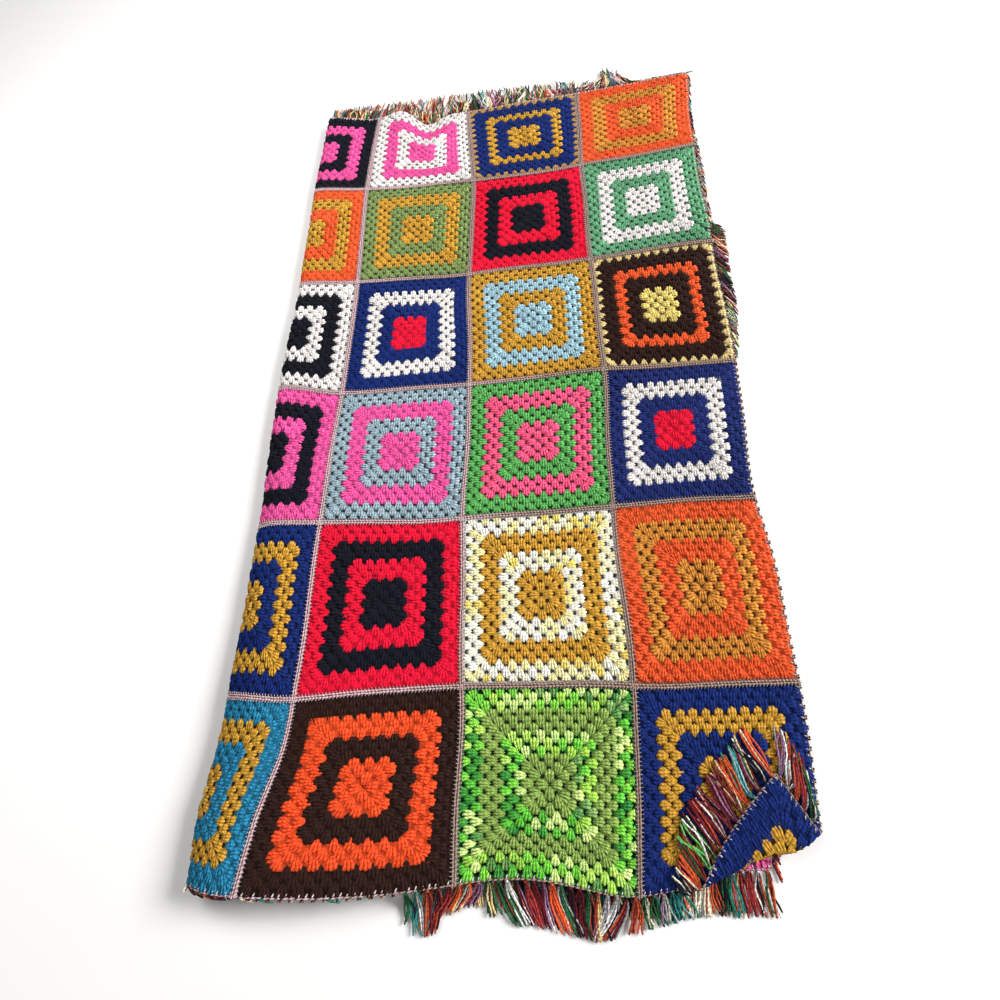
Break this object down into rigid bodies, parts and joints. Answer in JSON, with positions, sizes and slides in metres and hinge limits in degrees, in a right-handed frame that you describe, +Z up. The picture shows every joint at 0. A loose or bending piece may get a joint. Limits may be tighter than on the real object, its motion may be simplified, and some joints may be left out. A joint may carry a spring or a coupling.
{
  "type": "granny square blanket, folded once",
  "caption": "Crocheted granny square blanket with a knotted fringe, folded once lengthwise and lying flat, one corner turned back.",
  "frame": {"origin": "a point on the flat underside of the lower layer, near the middle of the folded blanket", "axes": "+Z up off the surface, +Y along the fold from the near end to the far one, +X from the fold to the free edges"},
  "size_m": [0.943, 1.7862, 0.062],
  "materials": {
    "crochet": "worsted acrylic yarn, crocheted in squares of many colours",
    "fringe": "worsted acrylic yarn in loose knotted strands of many colours"
  },
  "bodies": {
    "root": {"blanket": "crochet", "fringe_near": "fringe", "fringe_far": "fringe", "fringe_upper_side": "fringe", "fringe_lower_side": "fringe"}
  },
  "joints": []
}
